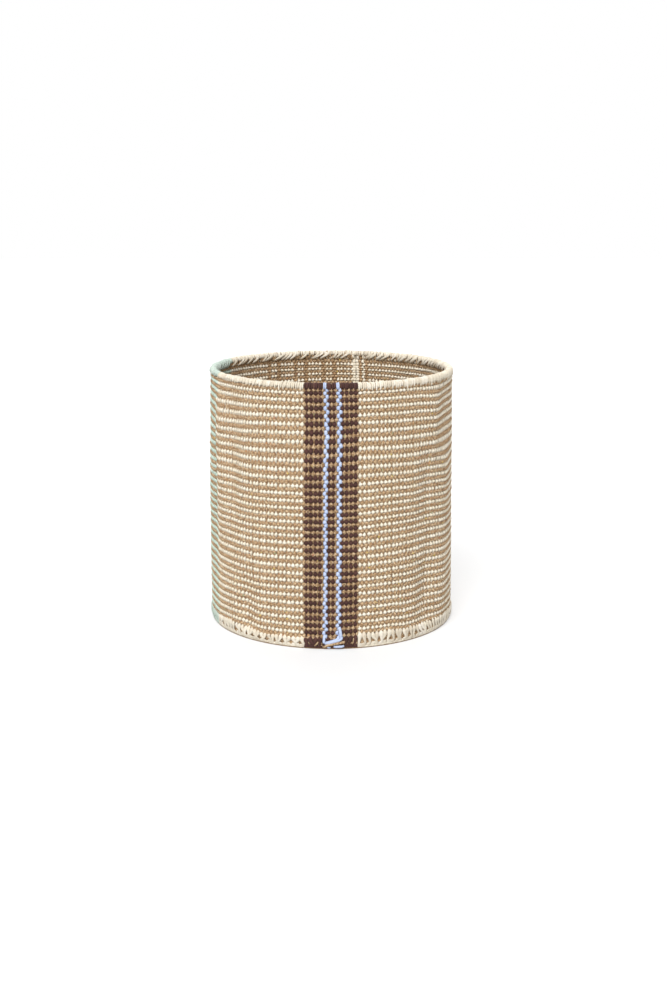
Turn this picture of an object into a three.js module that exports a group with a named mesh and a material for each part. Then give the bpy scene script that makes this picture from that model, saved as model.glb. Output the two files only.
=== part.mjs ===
import * as THREE from "three";

// A round hand-woven storage basket, open at the top.
// Millimetres, +Z up, origin at the centre of the face it stands on, striped band towards -Y.
// The wall is warp-faced cloth: coloured warps run from the plaited border at the foot up to the rim,
// where they turn over a core. The wefts lie in courses inside the cloth and aren't seen.

// Driving dimensions in millimetres
const HEIGHT = 266;
const RIM_RADIUS = 125; // outside of the wall at the top
const FOOT_RADIUS = 128.4; // outside of the wall at the bottom
const WALL_BULGE = 1; // how far the soft wall swells past a straight cone at half height
const WALL_THICKNESS = 5;
const FLOAT_RELIEF = 0.35; // how far a yarn stands out of the cloth, or lies back in it
const RIM_HEIGHT = 7;
const RIM_SWELL = 0.5; // how far the turned-over yarns stand out past the wall on each side
const RIM_WRAP = 1; // thickness of the layer of turned-over yarns
const RIM_NOTCH = 1.4; // depth of the notches between yarn tips at the rim's lower edge
const BORDER_HEIGHT = 12;
const BORDER_SWELL = 0.4; // how far the plaited border stands out past the wall
const BORDER_THICKNESS = 6.5;
const BORDER_ROUNDING = 3; // radius of the border's lower outside corner
const BASE_THICKNESS = 4;
const BASE_ROUNDING = 1;
const SEAT_GAP = 0.3; // clearance between pieces that lie against each other

// Soft upright folds of the wall. Each has its middle as an azimuth in degrees and a share of the height,
// its reach each way in degrees and in the same share, and how many mm the cloth stands out or lies back.
const FOLDS = [
  { azimuth: 51, level: 0.58, reach: 4.5, rise: 0.11, stand: -4.5 },
  { azimuth: 62, level: 0.56, reach: 6, rise: 0.13, stand: 3 },
  { azimuth: 50, level: 0.19, reach: 4.5, rise: 0.11, stand: -6 },
  { azimuth: 60, level: 0.2, reach: 6, rise: 0.12, stand: 3.5 },
  { azimuth: 53, level: 0.85, reach: 7, rise: 0.12, stand: 3 },
  { azimuth: 66, level: 0.85, reach: 6, rise: 0.15, stand: -3 },
  { azimuth: -53, level: 0.81, reach: 5, rise: 0.11, stand: -3 },
  { azimuth: -62, level: 0.81, reach: 5, rise: 0.13, stand: 3 },
  { azimuth: -53, level: 0.6, reach: 4.5, rise: 0.11, stand: -3 },
  { azimuth: -62, level: 0.56, reach: 5, rise: 0.17, stand: 2.5 },
  { azimuth: -72, level: 0.56, reach: 5, rise: 0.26, stand: -4 },
  { azimuth: -42, level: 0.13, reach: 3.5, rise: 0.08, stand: -4.5 },
  { azimuth: -52, level: 0.15, reach: 7, rise: 0.11, stand: 3 },
  { azimuth: 105, level: 0.49, reach: 14, rise: 0.26, stand: -3 },
  { azimuth: 128, level: 0.53, reach: 12, rise: 0.26, stand: 2.5 },
  { azimuth: -112, level: 0.49, reach: 12, rise: 0.23, stand: 3 },
  { azimuth: -135, level: 0.45, reach: 12, rise: 0.26, stand: -3 },
  { azimuth: 165, level: 0.41, reach: 12, rise: 0.23, stand: 2 },
  { azimuth: -163, level: 0.45, reach: 12, rise: 0.23, stand: -2 },
];
const FOLD_FREE_FOOT = 20; // height over which the folds grow out of the round foot
const FOLD_FREE_RIM = 28; // height over which they die out below the rim

// The weave, in counts: a column is one yarn and its partner, a pick is one weft course
const COLUMN_COUNT = 186;
const PICK_COUNT = 65;
const INSIDE_LEVELS = 11; // rows of corners on the inside of the wall
const PLAIN_FACET = 5; // columns under one flat facet where the basket is round
const COLUMN_ANGLE = (2 * Math.PI) / COLUMN_COUNT;

const CREAM = 0xefe3cc;
const DARK_BROWN = 0x4f3531;
const LIGHT_BLUE = 0xb9cbef;
const MINT = 0xcfe6d5;
const CORD = 0xb8956a;

// Colour groups of warps in order round the basket, anticlockwise from above, each with its columns.
// The runs say how the wall's flat facets share the columns out: so many columns, each facet so wide.
// Half a column gives every yarn of the band a ridge, and narrow facets follow the deepest folds.
const WARP_GROUPS = [
  { name: "dark_left", columns: 4, runs: [[4, 0.5]], color: DARK_BROWN },
  { name: "blue_left", columns: 1, runs: [[1, 0.5]], color: LIGHT_BLUE },
  { name: "dark_centre", columns: 2, runs: [[2, 0.5]], color: DARK_BROWN },
  { name: "blue_right", columns: 1, runs: [[1, 0.5]], color: LIGHT_BLUE },
  { name: "dark_right", columns: 4, runs: [[4, 0.5]], color: DARK_BROWN },
  { name: "natural_right", columns: 77, runs: [[15, 5], [20, 2.5], [42, 6]], color: CREAM },
  { name: "seam", columns: 4, runs: [[4, 1]], color: CREAM },
  { name: "natural_back", columns: 39, runs: [[39, 6.5]], color: CREAM },
  { name: "mint", columns: 26, runs: [[19, 5], [7, 2.5]], color: MINT },
  { name: "natural_left", columns: 28, runs: [[18, 2.5], [10, 5]], color: CREAM },
];
const BAND_COLUMNS = 12; // the first five groups, centred on the front

// Outside radius of the round basket at a height above the resting face.
function outerRadius(z) {
  const share = z / HEIGHT;
  const cone = THREE.MathUtils.lerp(FOOT_RADIUS, RIM_RADIUS, share);
  return cone + 4 * WALL_BULGE * share * (1 - share);
}

// How far the folds carry the cloth out of the round at an azimuth and a height.
function foldStand(azimuth, z) {
  const grown = THREE.MathUtils.smoothstep(z, 0, FOLD_FREE_FOOT);
  const left = 1 - THREE.MathUtils.smoothstep(z, HEIGHT - FOLD_FREE_RIM, HEIGHT);
  const turn = THREE.MathUtils.radToDeg(azimuth);
  const stand = FOLDS.reduce((sum, fold) => {
    const across = (THREE.MathUtils.euclideanModulo(turn - fold.azimuth + 180, 360) - 180) / fold.reach;
    const up = (z / HEIGHT - fold.level) / fold.rise;
    return sum + fold.stand * Math.exp(-(across * across + up * up) / 2);
  }, 0);
  return stand * grown * left;
}

// A point at an azimuth measured from -Y towards +X.
function pointAt(radius, azimuth, z) {
  return [radius * Math.sin(azimuth), -radius * Math.cos(azimuth), z];
}

// The azimuths at which one group's facets meet, drawn in by half the seat gap at both ends.
function facetAzimuths(group, firstColumn, runs) {
  const endGap = SEAT_GAP / 2 / FOOT_RADIUS;
  const start = firstColumn * COLUMN_ANGLE + endGap;
  const end = (firstColumn + group.columns) * COLUMN_ANGLE - endGap;
  const shares = [0];
  for (const [columns, facet] of runs) {
    const from = shares.at(-1);
    const steps = Math.ceil(columns / facet);
    for (let i = 1; i <= steps; i++) {
      shares.push(from + ((i / steps) * columns) / group.columns);
    }
  }
  return shares.map((share) => THREE.MathUtils.lerp(start, end, share));
}

function isBand(group) {
  return group.runs[0][1] < 1;
}

// Fills a section with a strip of triangles that climbs its two sides together, always by the shorter
// rung. It starts at the section's first and last corners and ends where the two sides meet.
function sectionStrip(section) {
  const rung = (a, b) => Math.hypot(section[a][0] - section[b][0], section[a][1] - section[b][1]);
  const triangles = [];
  let low = 0;
  let high = section.length - 1;
  while (high - low > 1) {
    if (rung(low + 1, high) < rung(low, high - 1)) {
      triangles.push([low, low + 1, high]);
      low += 1;
    } else {
      triangles.push([low, high - 1, high]);
      high -= 1;
    }
  }
  return triangles;
}

// Carries a closed section round the basket's axis. sectionAt(station) lists its corners as
// [radius, z, shift], anticlockwise as seen with the axis on the left. A shift turns one corner a little
// further round. An open sweep is closed by a strip at each end.
function sweep(azimuths, sectionAt, isRing = false) {
  const sections = azimuths.map((_, station) => sectionAt(station));
  const corners = sections[0].length;
  const positions = sections.flatMap((section, station) =>
    section.flatMap(([radius, z, shift = 0]) => pointAt(radius, azimuths[station] + shift, z)),
  );
  const index = [];
  const spans = isRing ? azimuths.length : azimuths.length - 1;
  for (let span = 0; span < spans; span++) {
    const here = span * corners;
    const next = ((span + 1) % azimuths.length) * corners;
    for (let corner = 0; corner < corners; corner++) {
      const after = (corner + 1) % corners;
      index.push(here + corner, next + corner, next + after);
      index.push(here + corner, next + after, here + after);
    }
  }
  if (!isRing) {
    const last = (azimuths.length - 1) * corners;
    for (const [a, b, c] of sectionStrip(sections[0])) {
      index.push(a, b, c);
      index.push(last + a, last + c, last + b);
    }
  }
  const geometry = new THREE.BufferGeometry();
  geometry.setAttribute("position", new THREE.Float32BufferAttribute(positions, 3));
  geometry.setIndex(index);
  geometry.computeVertexNormals();
  return geometry;
}

// In plain weave the yarns of one pick lie half a column beside those of the next, so each row of the
// cloth shifts a quarter column one way and the next row a quarter column the other way.
function weaveShift(level) {
  return (level % 2 === 0 ? -0.25 : 0.25) * COLUMN_ANGLE;
}

// How far the outside stands out at one row and facet corner. In the band every yarn is a ridge between
// two furrows. In the plain areas the rows of cream or mint ovals stand proud of the tan ones.
function relief(group, steps, level, station) {
  const atEnd = station === 0 || station === steps;
  if (atEnd) {
    return -FLOAT_RELIEF;
  }
  if (isBand(group)) {
    return station % 2 === 1 ? FLOAT_RELIEF : -FLOAT_RELIEF;
  }
  return level % 2 === 0 ? FLOAT_RELIEF : 0;
}

// Wall cloth of one colour group, from the border up to the rim, one row of corners to a pick outside.
// Its inside follows the same folds.
function wallCloth(group, azimuths) {
  const bottom = BORDER_HEIGHT + SEAT_GAP;
  const top = HEIGHT - RIM_HEIGHT - SEAT_GAP;
  return sweep(azimuths, (station) => {
    const outside = Array.from({ length: PICK_COUNT }, (_, level) => {
      const z = THREE.MathUtils.lerp(bottom, top, level / (PICK_COUNT - 1));
      const shift = weaveShift(level);
      const radius = outerRadius(z) + foldStand(azimuths[station] + shift, z);
      return [radius + relief(group, azimuths.length - 1, level, station), z, shift];
    });
    const inside = Array.from({ length: INSIDE_LEVELS }, (_, level) => {
      const z = THREE.MathUtils.lerp(top, bottom, level / (INSIDE_LEVELS - 1));
      return [outerRadius(z) + foldStand(azimuths[station], z) - WALL_THICKNESS, z];
    });
    return [...outside, ...inside];
  });
}

// An arch over the rim from the outside to the inside, as [radius, z] corners, with a leg down each side.
function rimArch(halfWidth, crownZ, steps, outerLegZ, innerLegZ) {
  const middle = outerRadius(HEIGHT) - WALL_THICKNESS / 2;
  const springZ = crownZ - halfWidth;
  const arch = Array.from({ length: steps + 1 }, (_, i) => {
    const angle = (i / steps) * Math.PI;
    return [middle + halfWidth * Math.cos(angle), springZ + halfWidth * Math.sin(angle)];
  });
  return [[middle + halfWidth, outerLegZ], ...arch, [middle - halfWidth, innerLegZ]];
}

// Turned-over yarns of one colour group, open below for the core. Notches part the band's yarn tips.
function rimWrap(group, azimuths) {
  const halfWidth = WALL_THICKNESS / 2 + RIM_SWELL;
  const legZ = HEIGHT - RIM_HEIGHT;
  const lining = rimArch(halfWidth - RIM_WRAP, HEIGHT - RIM_WRAP, 4, legZ, legZ).reverse();
  return sweep(azimuths, (station) => {
    const isNotch = isBand(group) && station % 2 === 0;
    const cover = rimArch(halfWidth, HEIGHT, 4, isNotch ? legZ + RIM_NOTCH : legZ, legZ);
    return [...cover, ...lining];
  });
}

// The core inside the rim: an oval ring that fills the arch and sits on the wall's top edge.
function rimCore(azimuths) {
  const halfWidth = WALL_THICKNESS / 2 + RIM_SWELL - RIM_WRAP - SEAT_GAP;
  const bottomZ = HEIGHT - RIM_HEIGHT;
  const crownZ = HEIGHT - RIM_WRAP - SEAT_GAP;
  const section = rimArch(halfWidth, crownZ, 4, bottomZ, bottomZ);
  return sweep(azimuths, () => section, true);
}

// Plaited border of one colour group, round the base, with its lower outside corner rounded under.
function footBorder(group, azimuths) {
  const outside = outerRadius(0) + BORDER_SWELL;
  const insideRadius = outerRadius(0) - BORDER_THICKNESS;
  return sweep(azimuths, (station) => {
    const isRidge = isBand(group) && station % 2 === 1;
    const stand = isRidge ? FLOAT_RELIEF : 0;
    const corner = Array.from({ length: 4 }, (_, i) => {
      const angle = (i / 3) * (Math.PI / 2);
      const radius = outside - BORDER_ROUNDING * (1 - Math.sin(angle));
      return [radius + stand * Math.sin(angle), BORDER_ROUNDING * (1 - Math.cos(angle))];
    });
    const waist = [outside + stand - FLOAT_RELIEF, BORDER_HEIGHT - BORDER_ROUNDING / 2];
    const shoulder = [outerRadius(BORDER_HEIGHT), BORDER_HEIGHT];
    return [[insideRadius, 0], ...corner, waist, shoulder, [insideRadius, BORDER_HEIGHT]];
  });
}

// Round cloth base, lying inside the border. Its rim has the border's facets, so the gap stays even.
function baseDisc(azimuths) {
  const radius = outerRadius(0) - BORDER_THICKNESS - SEAT_GAP;
  const corners = azimuths.map((azimuth) => new THREE.Vector2(...pointAt(radius, azimuth, 0)));
  const geometry = new THREE.ExtrudeGeometry(new THREE.Shape(corners), {
    depth: BASE_THICKNESS - 2 * BASE_ROUNDING,
    bevelThickness: BASE_ROUNDING,
    bevelSize: BASE_ROUNDING,
    bevelOffset: -BASE_ROUNDING,
    bevelSegments: 2,
  });
  return geometry.translate(0, 0, BASE_ROUNDING);
}

function addPiece(parent, name, geometry, color) {
  const material = new THREE.MeshStandardMaterial({ color, roughness: 0.95, metalness: 0 });
  const piece = new THREE.Mesh(geometry, material);
  piece.name = name;
  parent.add(piece);
}

const basket = new THREE.Group();
const wall = new THREE.Group();
const rim = new THREE.Group();
const foot = new THREE.Group();
basket.add(wall, rim, foot);

// One piece of wall, rim and border for each colour group. The rim and the foot are round, so they need
// no narrow facets outside the band, and their facets in turn give the core and the base theirs.
const roundAzimuths = [];
let firstColumn = -BAND_COLUMNS / 2;
for (const group of WARP_GROUPS) {
  const cloth = facetAzimuths(group, firstColumn, group.runs);
  const roundRuns = isBand(group) ? group.runs : [[group.columns, PLAIN_FACET]];
  const azimuths = facetAzimuths(group, firstColumn, roundRuns);
  addPiece(wall, `${group.name}_wall`, wallCloth(group, cloth), group.color);
  addPiece(rim, `${group.name}_rim`, rimWrap(group, azimuths), group.color);
  addPiece(foot, `${group.name}_border`, footBorder(group, azimuths), group.color);
  roundAzimuths.push(...azimuths);
  firstColumn += group.columns;
}
addPiece(rim, "rim_core", rimCore(roundAzimuths), CORD);
addPiece(foot, "base_disc", baseDisc(roundAzimuths), CREAM);

export default basket;
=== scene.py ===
import math

import bmesh
import bpy
import numpy as np
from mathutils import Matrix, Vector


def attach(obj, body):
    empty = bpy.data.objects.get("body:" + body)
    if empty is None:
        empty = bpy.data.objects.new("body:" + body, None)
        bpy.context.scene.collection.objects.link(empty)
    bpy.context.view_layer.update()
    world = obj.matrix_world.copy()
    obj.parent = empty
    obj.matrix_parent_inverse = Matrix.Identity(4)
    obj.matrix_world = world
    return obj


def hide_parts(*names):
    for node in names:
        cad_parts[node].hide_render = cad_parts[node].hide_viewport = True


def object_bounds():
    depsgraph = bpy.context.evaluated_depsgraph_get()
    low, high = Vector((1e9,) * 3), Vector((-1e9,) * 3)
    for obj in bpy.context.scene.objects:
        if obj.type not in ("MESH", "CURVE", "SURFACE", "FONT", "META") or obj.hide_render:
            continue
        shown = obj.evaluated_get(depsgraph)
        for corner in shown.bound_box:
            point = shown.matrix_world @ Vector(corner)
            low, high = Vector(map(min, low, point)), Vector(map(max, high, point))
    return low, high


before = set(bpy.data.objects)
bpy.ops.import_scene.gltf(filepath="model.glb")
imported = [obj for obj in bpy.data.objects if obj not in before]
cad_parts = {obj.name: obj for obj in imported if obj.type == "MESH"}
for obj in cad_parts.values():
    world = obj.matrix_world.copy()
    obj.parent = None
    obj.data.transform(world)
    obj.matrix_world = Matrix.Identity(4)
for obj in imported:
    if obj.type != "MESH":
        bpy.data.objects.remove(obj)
cad_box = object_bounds()


# The weft.
# One thick cotton cord lies in 65 courses inside the wall, straight and tight. The warps cover it, so
# it is seen only as a shadow between them. This section also lays out the cloth of the wall.

# Heights, and places outward from the middle of the cloth, are in mm. Places along it are in columns of
# one warp and its partner. Azimuths are in degrees, from the front towards the right.
MM = 0.001
COLUMNS = 186
COLUMN_MM = 4.2
PICKS = 65
BASKET_TOP = cad_box[1].z / MM
RIM_OUTSIDE = 125.0
FOOT_OUTSIDE = 128.4
SWELL = 1.0
HALF_CLOTH = 2.5
TOP_CREAM_HEIGHT = 256.0
TOP_PICK_HEIGHT = 258.8
LOWEST_PICK_HEIGHT = 12.9
RIM_PICK_STEP = 3.6
BORDER_PICK_STEP = 4.2

# Height of a pair of courses, from the top pair down. The weaver beat the middle ones less hard.
PAIR_HEIGHT = {
    0: 7.2, 3: 7.8, 6: 9.2, 8: 9.0, 11: 7.5, 16: 6.9, 19: 7.6, 22: 8.1, 24: 7.2, 26: 8.0, 31: 7.3,
}

# Where the courses rise or, with a minus, dip: azimuth and height of the middle, reach each way, and mm.
SAGS = (
    ((-60, 222), (15, 15), -5.0),
    ((-44, 165), (20, 50), -3.0),
    ((-36, 65), (9, 35), -1.8),
    ((-52, 26), (8, 22), 3.2),
    ((14, 200), (8, 22), 1.9),
    ((26, 135), (9, 40), 1.6),
    ((48, 105), (12, 30), 2.2),
    ((60, 250), (10, 22), -3.4),
    ((68, 175), (6, 20), -2.5),
    ((175, 222), (40, 16), 3.4),
    ((165, 255), (40, 9), -3.0),
    ((150, 120), (30, 50), 2.0),
    ((-120, 100), (25, 60), -2.0),
)
SAG_FREE_RIM = 252, 264

# Right of the front the lowest 100 mm are beaten tighter, so their courses stand higher: the azimuths
# over which that comes in and by how many mm, and those over which it fades and by what share.
LIFTED = (((0, 11), 1.6), ((11.4, 12.8), 2.6))
EASED = (((26, 36), 0.45), ((62, 84), 1.0))
LIFTED_BELOW = 100

# Soft upright folds of the wall: azimuth and height of the middle, reach each way, and depth in mm.
FOLDS = (
    ((51, 154), (4.5, 29), -4.5),
    ((62, 149), (6, 34.5), 3.0),
    ((50, 50.5), (4.5, 29), -6.0),
    ((60, 53), (6, 32), 3.5),
    ((53, 226), (7, 32), 3.0),
    ((66, 226), (6, 40), -3.0),
    ((-53, 215.5), (5, 29), -3.0),
    ((-62, 215.5), (5, 34.5), 3.0),
    ((-53, 159.5), (4.5, 29), -3.0),
    ((-62, 149), (5, 45), 2.5),
    ((-72, 149), (5, 69), -4.0),
    ((-42, 34.5), (3.5, 21), -4.5),
    ((-52, 40), (7, 29), 3.0),
    ((105, 130), (14, 69), -3.0),
    ((128, 141), (12, 69), 2.5),
    ((-112, 130), (12, 61), 3.0),
    ((-135, 120), (12, 69), -3.0),
    ((165, 109), (12, 61), 2.0),
    ((53.5, 190), (2.4, 60), 1.5),
    ((-163, 120), (12, 61), -2.0),
)
FOLD_FREE_FOOT = 20
FOLD_FREE_RIM = 28

# Where the columns lean sideways: azimuth and height of the middle, reach each way, and the degrees.
LEANS = (((-4, 222), (9, 22), 0.55), ((-2, 22), (6, 40), -0.35))

# Columns of the front are a little wider than those of the back: column number and share of the mean.
COLUMN_WIDTH = {
    0: 1.0, 2: 1.0, 3: 1.04, 30: 1.03, 40: 0.985, 112: 0.985, 118: 1.03, 147: 1.03, 152: 0.93, 160: 0.93,
    166: 1.03, 179: 1.04, 181: 1.09, 183.5: 1.09, 184.5: 1.0, 186: 1.0,
}

# The azimuths of the columns are known at steps of half a column and of 5 mm in height.
FIRST_COLUMN = -8
LAST_COLUMN = 187
COLUMN_STEP = 0.5
LEVEL_STEP = 5.0
LEVELS = np.arange(0, 275, LEVEL_STEP)
FIRST_AZIMUTH = -60
LAST_AZIMUTH = 420
AZIMUTH_STEP = 0.25


def smooth(low, high, value):
    share = np.clip((value - low) / (high - low), 0, 1)
    return share * share * (3 - 2 * share)


def bumps(table, azimuth, height):
    """The sum of soft bumps, each given by its middle, its reach and its amount."""
    total = 0
    for (middle, level), (reach, rise), amount in table:
        turn = (azimuth - middle + 180) % 360 - 180
        total = total + amount * np.exp(-((turn / reach) ** 2) / 2 - (((height - level) / rise) ** 2) / 2)
    return total


def wall_radius(azimuth, height):
    """Radius of the middle of the cloth. The folds die out at the rim and at the foot."""
    share = np.clip(height / BASKET_TOP, 0, 1)
    plain = FOOT_OUTSIDE + (RIM_OUTSIDE - FOOT_OUTSIDE) * share + 4 * SWELL * share * (1 - share)
    held = smooth(0, FOLD_FREE_FOOT, height) * (1 - smooth(BASKET_TOP - FOLD_FREE_RIM, BASKET_TOP, height))
    return plain - HALF_CLOTH + bumps(FOLDS, azimuth, height) * held


def column_azimuths():
    """Azimuths of the columns at every level: equal lengths of cloth, measured round the folds."""
    columns = np.arange(FIRST_COLUMN, LAST_COLUMN + COLUMN_STEP, COLUMN_STEP)
    widths = np.interp(columns % COLUMNS, list(COLUMN_WIDTH), list(COLUMN_WIDTH.values()))
    along = np.concatenate([[0], np.cumsum((widths[1:] + widths[:-1]) / 2 * COLUMN_STEP)])
    start, full = np.interp((0, COLUMNS), columns, along)
    along = (along - start) / (full - start)
    azimuths = np.arange(FIRST_AZIMUTH, LAST_AZIMUTH + AZIMUTH_STEP, AZIMUTH_STEP)
    rows = []
    for height in LEVELS:
        radius = wall_radius(azimuths, height)
        slope = np.gradient(radius, np.radians(azimuths))
        steps = np.hypot(radius, slope)[1:] * math.radians(AZIMUTH_STEP)
        length = np.concatenate([[0], np.cumsum(steps)])
        length = length - np.interp(0, azimuths, length)
        round_length = np.interp(360, azimuths, length)
        rows.append(np.interp(along * round_length, length, azimuths))
    return np.array(rows)


AZIMUTHS = column_azimuths()


def azimuth_at(column, height):
    """Azimuth of a column at a height, between the nearest known ones."""
    level = np.clip(height / LEVEL_STEP, 0, len(LEVELS) - 1.001)
    place = np.clip((column - FIRST_COLUMN) / COLUMN_STEP, 0, AZIMUTHS.shape[1] - 1.001)
    row, part = level.astype(int), place.astype(int)
    up, over = level - row, place - part
    low = AZIMUTHS[row, part] * (1 - over) + AZIMUTHS[row, part + 1] * over
    high = AZIMUTHS[row + 1, part] * (1 - over) + AZIMUTHS[row + 1, part + 1] * over
    azimuth = low * (1 - up) + high * up
    return azimuth + bumps(LEANS, azimuth, height)


def level_pick_heights():
    """Height of every pick before the cloth sags, from the lowest up."""
    pairs = np.interp(np.arange(PICKS - 2) / 2, list(PAIR_HEIGHT), list(PAIR_HEIGHT.values()))
    steps = pairs / pairs.sum() * (TOP_CREAM_HEIGHT - LOWEST_PICK_HEIGHT)
    return np.concatenate([TOP_CREAM_HEIGHT - np.cumsum(steps)[::-1], [TOP_CREAM_HEIGHT, TOP_PICK_HEIGHT]])


PICK_HEIGHTS = level_pick_heights()


def pick_height(column, pick):
    """Height of a pick at a column, also of those below the lowest and above the top one."""
    below = np.minimum(pick, 0) * BORDER_PICK_STEP
    above = np.maximum(pick - (PICKS - 1), 0) * RIM_PICK_STEP
    level = np.interp(pick, np.arange(PICKS), PICK_HEIGHTS) + below + above
    azimuth = (azimuth_at(column, level) + 180) % 360 - 180
    lift = sum(amount * smooth(*reach, azimuth) for reach, amount in LIFTED)
    for reach, share in EASED:
        lift = lift * (1 - share * smooth(*reach, azimuth))
    lift = lift * (1 - smooth(0, LIFTED_BELOW, level))
    return level + lift + bumps(SAGS, azimuth, level) * (1 - smooth(*SAG_FREE_RIM, level))


def on_basket(column, outward, height):
    """Places points of the cloth on the basket. Returns metres."""
    azimuth = azimuth_at(column, height)
    turn = np.radians(azimuth)
    radius = wall_radius(azimuth, height) + outward
    return np.stack([radius * np.sin(turn), -radius * np.cos(turn), height], axis=-1) * MM


STRAIGHT_RADIUS = 0.25


def straight_yarns(name, count, rings, sides=6):
    """Upright straight tubes in a row, a unit apart and closed at both ends. Returns the object and,
    for every point, the number of its yarn, its ring along the yarn and its place round the yarn."""
    bm = bmesh.new()
    bmesh.ops.create_circle(bm, segments=sides, radius=STRAIGHT_RADIUS)
    bmesh.ops.spin(bm, geom=bm.edges[:], axis=(0, 0, 1), dvec=(0, 0, 1), angle=0, steps=rings - 1)
    bmesh.ops.holes_fill(bm, edges=bm.edges[:], sides=sides)
    bmesh.ops.recalc_face_normals(bm, faces=bm.faces[:])
    if count > 1:
        tube = bm.verts[:] + bm.edges[:] + bm.faces[:]
        bmesh.ops.spin(
            bm, geom=tube, axis=(0, 0, 1), dvec=(1, 0, 0), angle=0, steps=count - 1, use_duplicate=True
        )
    for face in bm.faces:
        face.smooth = True
    mesh = bpy.data.meshes.new(name)
    bm.to_mesh(mesh)
    bm.free()
    piece = bpy.data.objects.new(name, mesh)
    bpy.context.scene.collection.objects.link(piece)
    points = np.empty(len(mesh.vertices) * 3)
    mesh.vertices.foreach_get("co", points)
    points = points.reshape(-1, 3)
    yarn = np.rint(points[:, 0]).astype(int)
    ring = np.rint(points[:, 2]).astype(int)
    return piece, yarn, ring, (points[:, 0] - yarn) / STRAIGHT_RADIUS, points[:, 1] / STRAIGHT_RADIUS


def settle(piece, points, across, through, along, tint):
    """Moves a piece's points to their places, and keeps each point's place on its yarn for the twist and
    the painted shade of its material.
    """
    mesh = piece.data
    mesh.vertices.foreach_set("co", points.astype(np.float32).ravel())
    lay = mesh.attributes.new("lay", "FLOAT_VECTOR", "POINT")
    lay.data.foreach_set("vector", np.stack([across, through, along], axis=-1).astype(np.float32).ravel())
    shade = mesh.attributes.new("tint", "FLOAT", "POINT")
    shade.data.foreach_set("value", tint.astype(np.float32))
    mesh.update()


def linear(hex_colour):
    """A colour written as sRGB hex, as the linear RGBA that Blender works in."""
    parts = [int(hex_colour[i : i + 2], 16) / 255 for i in (1, 3, 5)]
    return [p / 12.92 if p <= 0.04045 else ((p + 0.055) / 1.055) ** 2.4 for p in parts] + [1.0]


def node(tree, kind, settings=None, **links):
    """Adds a node, sets its properties and inputs, and links what is given as another node's output."""
    made = tree.nodes.new("ShaderNode" + kind)
    for key, value in (settings or {}).items():
        setattr(made, key, value)
    for key, value in links.items():
        socket = made.inputs[int(key[1:])] if key[1:].isdigit() else made.inputs[key.replace("_", " ")]
        if isinstance(value, bpy.types.NodeSocket):
            tree.links.new(value, socket)
        else:
            socket.default_value = value
    return made


# Sizes in the yarn: one turn of its two plies and the groove between them in mm, and how many hairs,
# slubs and flecks go to a mm. Single hairs are too fine to show, so they are drawn coarser.
TWIST_MM = 3.0
GROOVE_MM = 0.25
HAIRS_PER_MM = 2.6
SLUBS_PER_MM = 0.9
FLECKS_PER_MM = 0.62
SLUB_SHADES = ((0.0, "#74583E"), (0.35, "#A38059"), (0.6, "#B89874"), (1.0, "#DCC6A5"))
FLECK_SHADES = ((0.0, "#B88A60"), (0.35, "#A9745A"), (0.45, "#A0A078"), (0.55, "#7A5F4C"), (0.8, "#CBB062"))


def set_ramp(ramp, stops):
    """Gives a colour ramp its stops, each a place from 0 to 1 and a colour."""
    for element, (place, shade) in zip(ramp.elements, (stops[0], stops[-1])):
        element.position = place
        element.color = linear(shade)
    for place, shade in stops[1:-1]:
        ramp.elements.new(place).color = linear(shade)


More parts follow.
